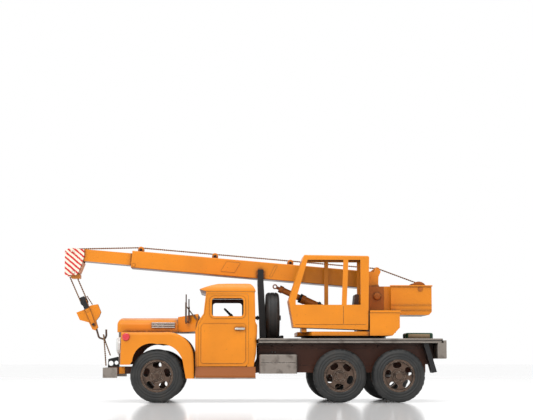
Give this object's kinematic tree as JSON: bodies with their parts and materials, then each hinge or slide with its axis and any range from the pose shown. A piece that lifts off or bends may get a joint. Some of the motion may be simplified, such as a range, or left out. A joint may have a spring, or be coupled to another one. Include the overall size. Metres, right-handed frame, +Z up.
{
  "type": "toy crane truck",
  "caption": "Orange tinplate toy lorry with a slewing telescopic crane, its hook lashed to the front bumper.",
  "frame": {"origin": "on the ground, under the middle of the whole truck's box, crane included", "axes": "+Z up; the bonnet points along -X; the driver's side is -Y"},
  "size_m": [0.6151, 0.2008, 0.2534],
  "materials": {
    "orange_paint": "semi-gloss orange enamel, brown wash in the creases",
    "frame_paint": "dark red-brown, satin, worn edges",
    "worn_silver": "aged silver, satin",
    "black_paint": "black, satin, rubbed edges",
    "tyre_rubber": "matt charcoal rubber",
    "wheel_bronze": "worn bronze brown",
    "rope": "twisted rust-brown cord",
    "head_paint": "cream with hand-painted red bars",
    "green_paint": "dark green enamel",
    "lamp_red": "glossy red",
    "seat_brown": "brown, matt"
  },
  "bodies": {
    "root": {"frame_rails": "frame_paint", "axles": "wheel_bronze", "deck_plate": "worn_silver", "front_bumper": "worn_silver", "rear_bumper": "worn_silver", "lash_bracket": "black_paint", "bonnet": "orange_paint", "front_wings": "orange_paint", "grille": "worn_silver", "lamps": "lamp_red", "cab_shell": "orange_paint", "cab_roof": "orange_paint", "cab_interior": "seat_brown", "mirrors": "black_paint", "tool_boxes": "worn_silver", "boom_rest": "black_paint", "spare_wheel": "tyre_rubber", "turntable_ring": "black_paint", "jerry_can": "green_paint", "mud_flaps": "black_paint"},
    "wheel_front_left": {"tyre_front_left": "tyre_rubber", "rim_front_left": "wheel_bronze"},
    "wheel_front_right": {"tyre_front_right": "tyre_rubber", "rim_front_right": "wheel_bronze"},
    "wheel_middle_left": {"tyre_middle_left": "tyre_rubber", "rim_middle_left": "wheel_bronze"},
    "wheel_middle_right": {"tyre_middle_right": "tyre_rubber", "rim_middle_right": "wheel_bronze"},
    "wheel_rear_left": {"tyre_rear_left": "tyre_rubber", "rim_rear_left": "wheel_bronze"},
    "wheel_rear_right": {"tyre_rear_right": "tyre_rubber", "rim_rear_right": "wheel_bronze"},
    "door_left": {"door_left": "orange_paint"},
    "door_right": {"door_right": "orange_paint"},
    "steering": {"steering_wheel": "black_paint"},
    "crane": {"crane_base": "orange_paint", "pivot_plates": "orange_paint", "winch_box": "orange_paint", "operator_cab": "orange_paint", "operator_seat": "seat_brown"},
    "lever": {"control_lever": "black_paint"},
    "drum": {"winch_drum": "orange_paint"},
    "ram_barrel": {"ram_barrel": "orange_paint"},
    "ram_stage": {"ram_stage": "orange_paint"},
    "ram_rod": {"ram_rod": "orange_paint"},
    "boom": {"boom": "orange_paint", "rope_over_boom": "rope"},
    "roller_back": {"rope_roller_back": "black_paint"},
    "roller_middle": {"rope_roller_middle": "black_paint"},
    "roller_front": {"rope_roller_front": "black_paint"},
    "roller_root": {"rope_roller_root": "black_paint"},
    "jib": {"jib": "orange_paint", "boom_head": "head_paint", "rope_over_jib": "rope"},
    "head_sheave": {"head_sheave": "orange_paint"},
    "falls": {"rope_falls": "rope"},
    "hook_block": {"hook_block": "orange_paint"},
    "block_sheave": {"block_sheave": "black_paint"},
    "hook": {"lifting_hook": "wheel_bronze"},
    "lash": {"lash_rope": "rope"}
  },
  "joints": [
    {"name": "front_left_wheel_spin", "type": "hinge", "parent": "root", "child": "wheel_front_left", "pos_m": [-0.152, -0.087, 0.042], "axis": [0, 1, 0], "continuous": true},
    {"name": "front_right_wheel_spin", "type": "hinge", "parent": "root", "child": "wheel_front_right", "pos_m": [-0.152, 0.087, 0.042], "axis": [0, 1, 0], "continuous": true},
    {"name": "middle_left_wheel_spin", "type": "hinge", "parent": "root", "child": "wheel_middle_left", "pos_m": [0.1355, -0.087, 0.042], "axis": [0, 1, 0], "continuous": true},
    {"name": "middle_right_wheel_spin", "type": "hinge", "parent": "root", "child": "wheel_middle_right", "pos_m": [0.1355, 0.087, 0.042], "axis": [0, 1, 0], "continuous": true},
    {"name": "rear_left_wheel_spin", "type": "hinge", "parent": "root", "child": "wheel_rear_left", "pos_m": [0.2283, -0.087, 0.042], "axis": [0, 1, 0], "continuous": true},
    {"name": "rear_right_wheel_spin", "type": "hinge", "parent": "root", "child": "wheel_rear_right", "pos_m": [0.2283, 0.087, 0.042], "axis": [0, 1, 0], "continuous": true},
    {"name": "left_door_swing", "type": "hinge", "parent": "root", "child": "door_left", "pos_m": [-0.0876, -0.0883, 0.114], "axis": [0, 0, -1], "range_deg": [0, 60]},
    {"name": "right_door_swing", "type": "hinge", "parent": "root", "child": "door_right", "pos_m": [-0.0876, 0.0883, 0.114], "axis": [0, 0, 1], "range_deg": [0, 60]},
    {"name": "steering_spin", "type": "hinge", "parent": "root", "child": "steering", "pos_m": [-0.036, -0.04, 0.139], "axis": [0.7071, 0, 0.7071], "continuous": true},
    {"name": "slew", "type": "hinge", "parent": "root", "child": "crane", "pos_m": [0.15, 0, 0.105], "axis": [0, 0, 1], "range_deg": [-15, 0]},
    {"name": "lever_tilt", "type": "hinge", "parent": "crane", "child": "lever", "pos_m": [0.106, -0.06, 0.125], "axis": [0, 1, 0], "range_deg": [-12, 12]},
    {"name": "drum_spin", "type": "hinge", "parent": "crane", "child": "drum", "pos_m": [0.272, 0, 0.182], "axis": [0, 1, 0], "range_deg": [0, 190]},
    {"name": "ram_tilt", "type": "hinge", "parent": "crane", "child": "ram_barrel", "pos_m": [0.178, 0, 0.1235], "axis": [0, 1, 0], "range_deg": [0, 46]},
    {"name": "ram_stage_slide", "type": "slide", "parent": "ram_barrel", "child": "ram_stage", "axis": [-0.9097, 0, 0.4152], "range_m": [0, 0.022]},
    {"name": "ram_rod_slide", "type": "slide", "parent": "ram_stage", "child": "ram_rod", "axis": [-0.9097, 0, 0.4152], "range_m": [0, 0.022]},
    {"name": "boom_lift", "type": "hinge", "parent": "crane", "child": "boom", "pos_m": [0.2026, 0, 0.1707], "axis": [0, 1, 0], "range_deg": [0, 50], "deforming": ["rope_over_boom"]},
    {"name": "back_roller_spin", "type": "hinge", "parent": "boom", "child": "roller_back", "pos_m": [0.06221, 0, 0.22735], "axis": [0, 1, 0], "continuous": true},
    {"name": "middle_roller_spin", "type": "hinge", "parent": "boom", "child": "roller_middle", "pos_m": [-0.06223, 0, 0.23799], "axis": [0, 1, 0], "continuous": true},
    {"name": "front_roller_spin", "type": "hinge", "parent": "boom", "child": "roller_front", "pos_m": [-0.18429, 0, 0.24842], "axis": [0, 1, 0], "continuous": true},
    {"name": "root_roller_spin", "type": "hinge", "parent": "boom", "child": "roller_root", "pos_m": [0.2055, 0, 0.215], "axis": [0, 1, 0], "continuous": true},
    {"name": "jib_slide", "type": "slide", "parent": "boom", "child": "jib", "axis": [0.9964, 0, -0.0852], "range_m": [0, 0.018], "deforming": ["rope_over_jib"]},
    {"name": "head_sheave_spin", "type": "hinge", "parent": "jib", "child": "head_sheave", "pos_m": [-0.2943, 0, 0.2431], "axis": [0, 1, 0], "continuous": true},
    {"name": "falls_swing", "type": "hinge", "parent": "jib", "child": "falls", "pos_m": [-0.293, 0, 0.2098], "axis": [0, 1, 0], "range_deg": [-25, 0]},
    {"name": "hoist", "type": "slide", "parent": "falls", "child": "hook_block", "axis": [-0.4068, 0, 0.9135], "range_m": [0, 0.016], "deforming": ["rope_falls"]},
    {"name": "block_sheave_spin", "type": "hinge", "parent": "hook_block", "child": "block_sheave", "pos_m": [-0.277, 0, 0.162], "axis": [0, 1, 0], "continuous": true},
    {"name": "hook_tilt", "type": "hinge", "parent": "hook_block", "child": "hook", "pos_m": [-0.2611, 0, 0.1251], "axis": [0, 1, 0], "range_deg": [0, 9]},
    {"name": "lash_swing", "type": "hinge", "parent": "hook", "child": "lash", "pos_m": [-0.2446, 0, 0.105], "axis": [0, 1, 0], "range_deg": [-24, 0]}
  ],
  "couplings": [
    {"joint": "ram_tilt", "follows": "boom_lift", "ratio": 0.902},
    {"joint": "ram_stage_slide", "follows": "boom_lift", "m_per_rad": 0.0243},
    {"joint": "ram_rod_slide", "follows": "boom_lift", "m_per_rad": 0.0243},
    {"joint": "falls_swing", "follows": "boom_lift", "ratio": -0.5},
    {"joint": "hook_tilt", "follows": "boom_lift", "ratio": 0.18},
    {"joint": "lash_swing", "follows": "boom_lift", "ratio": -0.48},
    {"joint": "drum_spin", "follows": "hoist", "rad_per_m": 200}
  ]
}
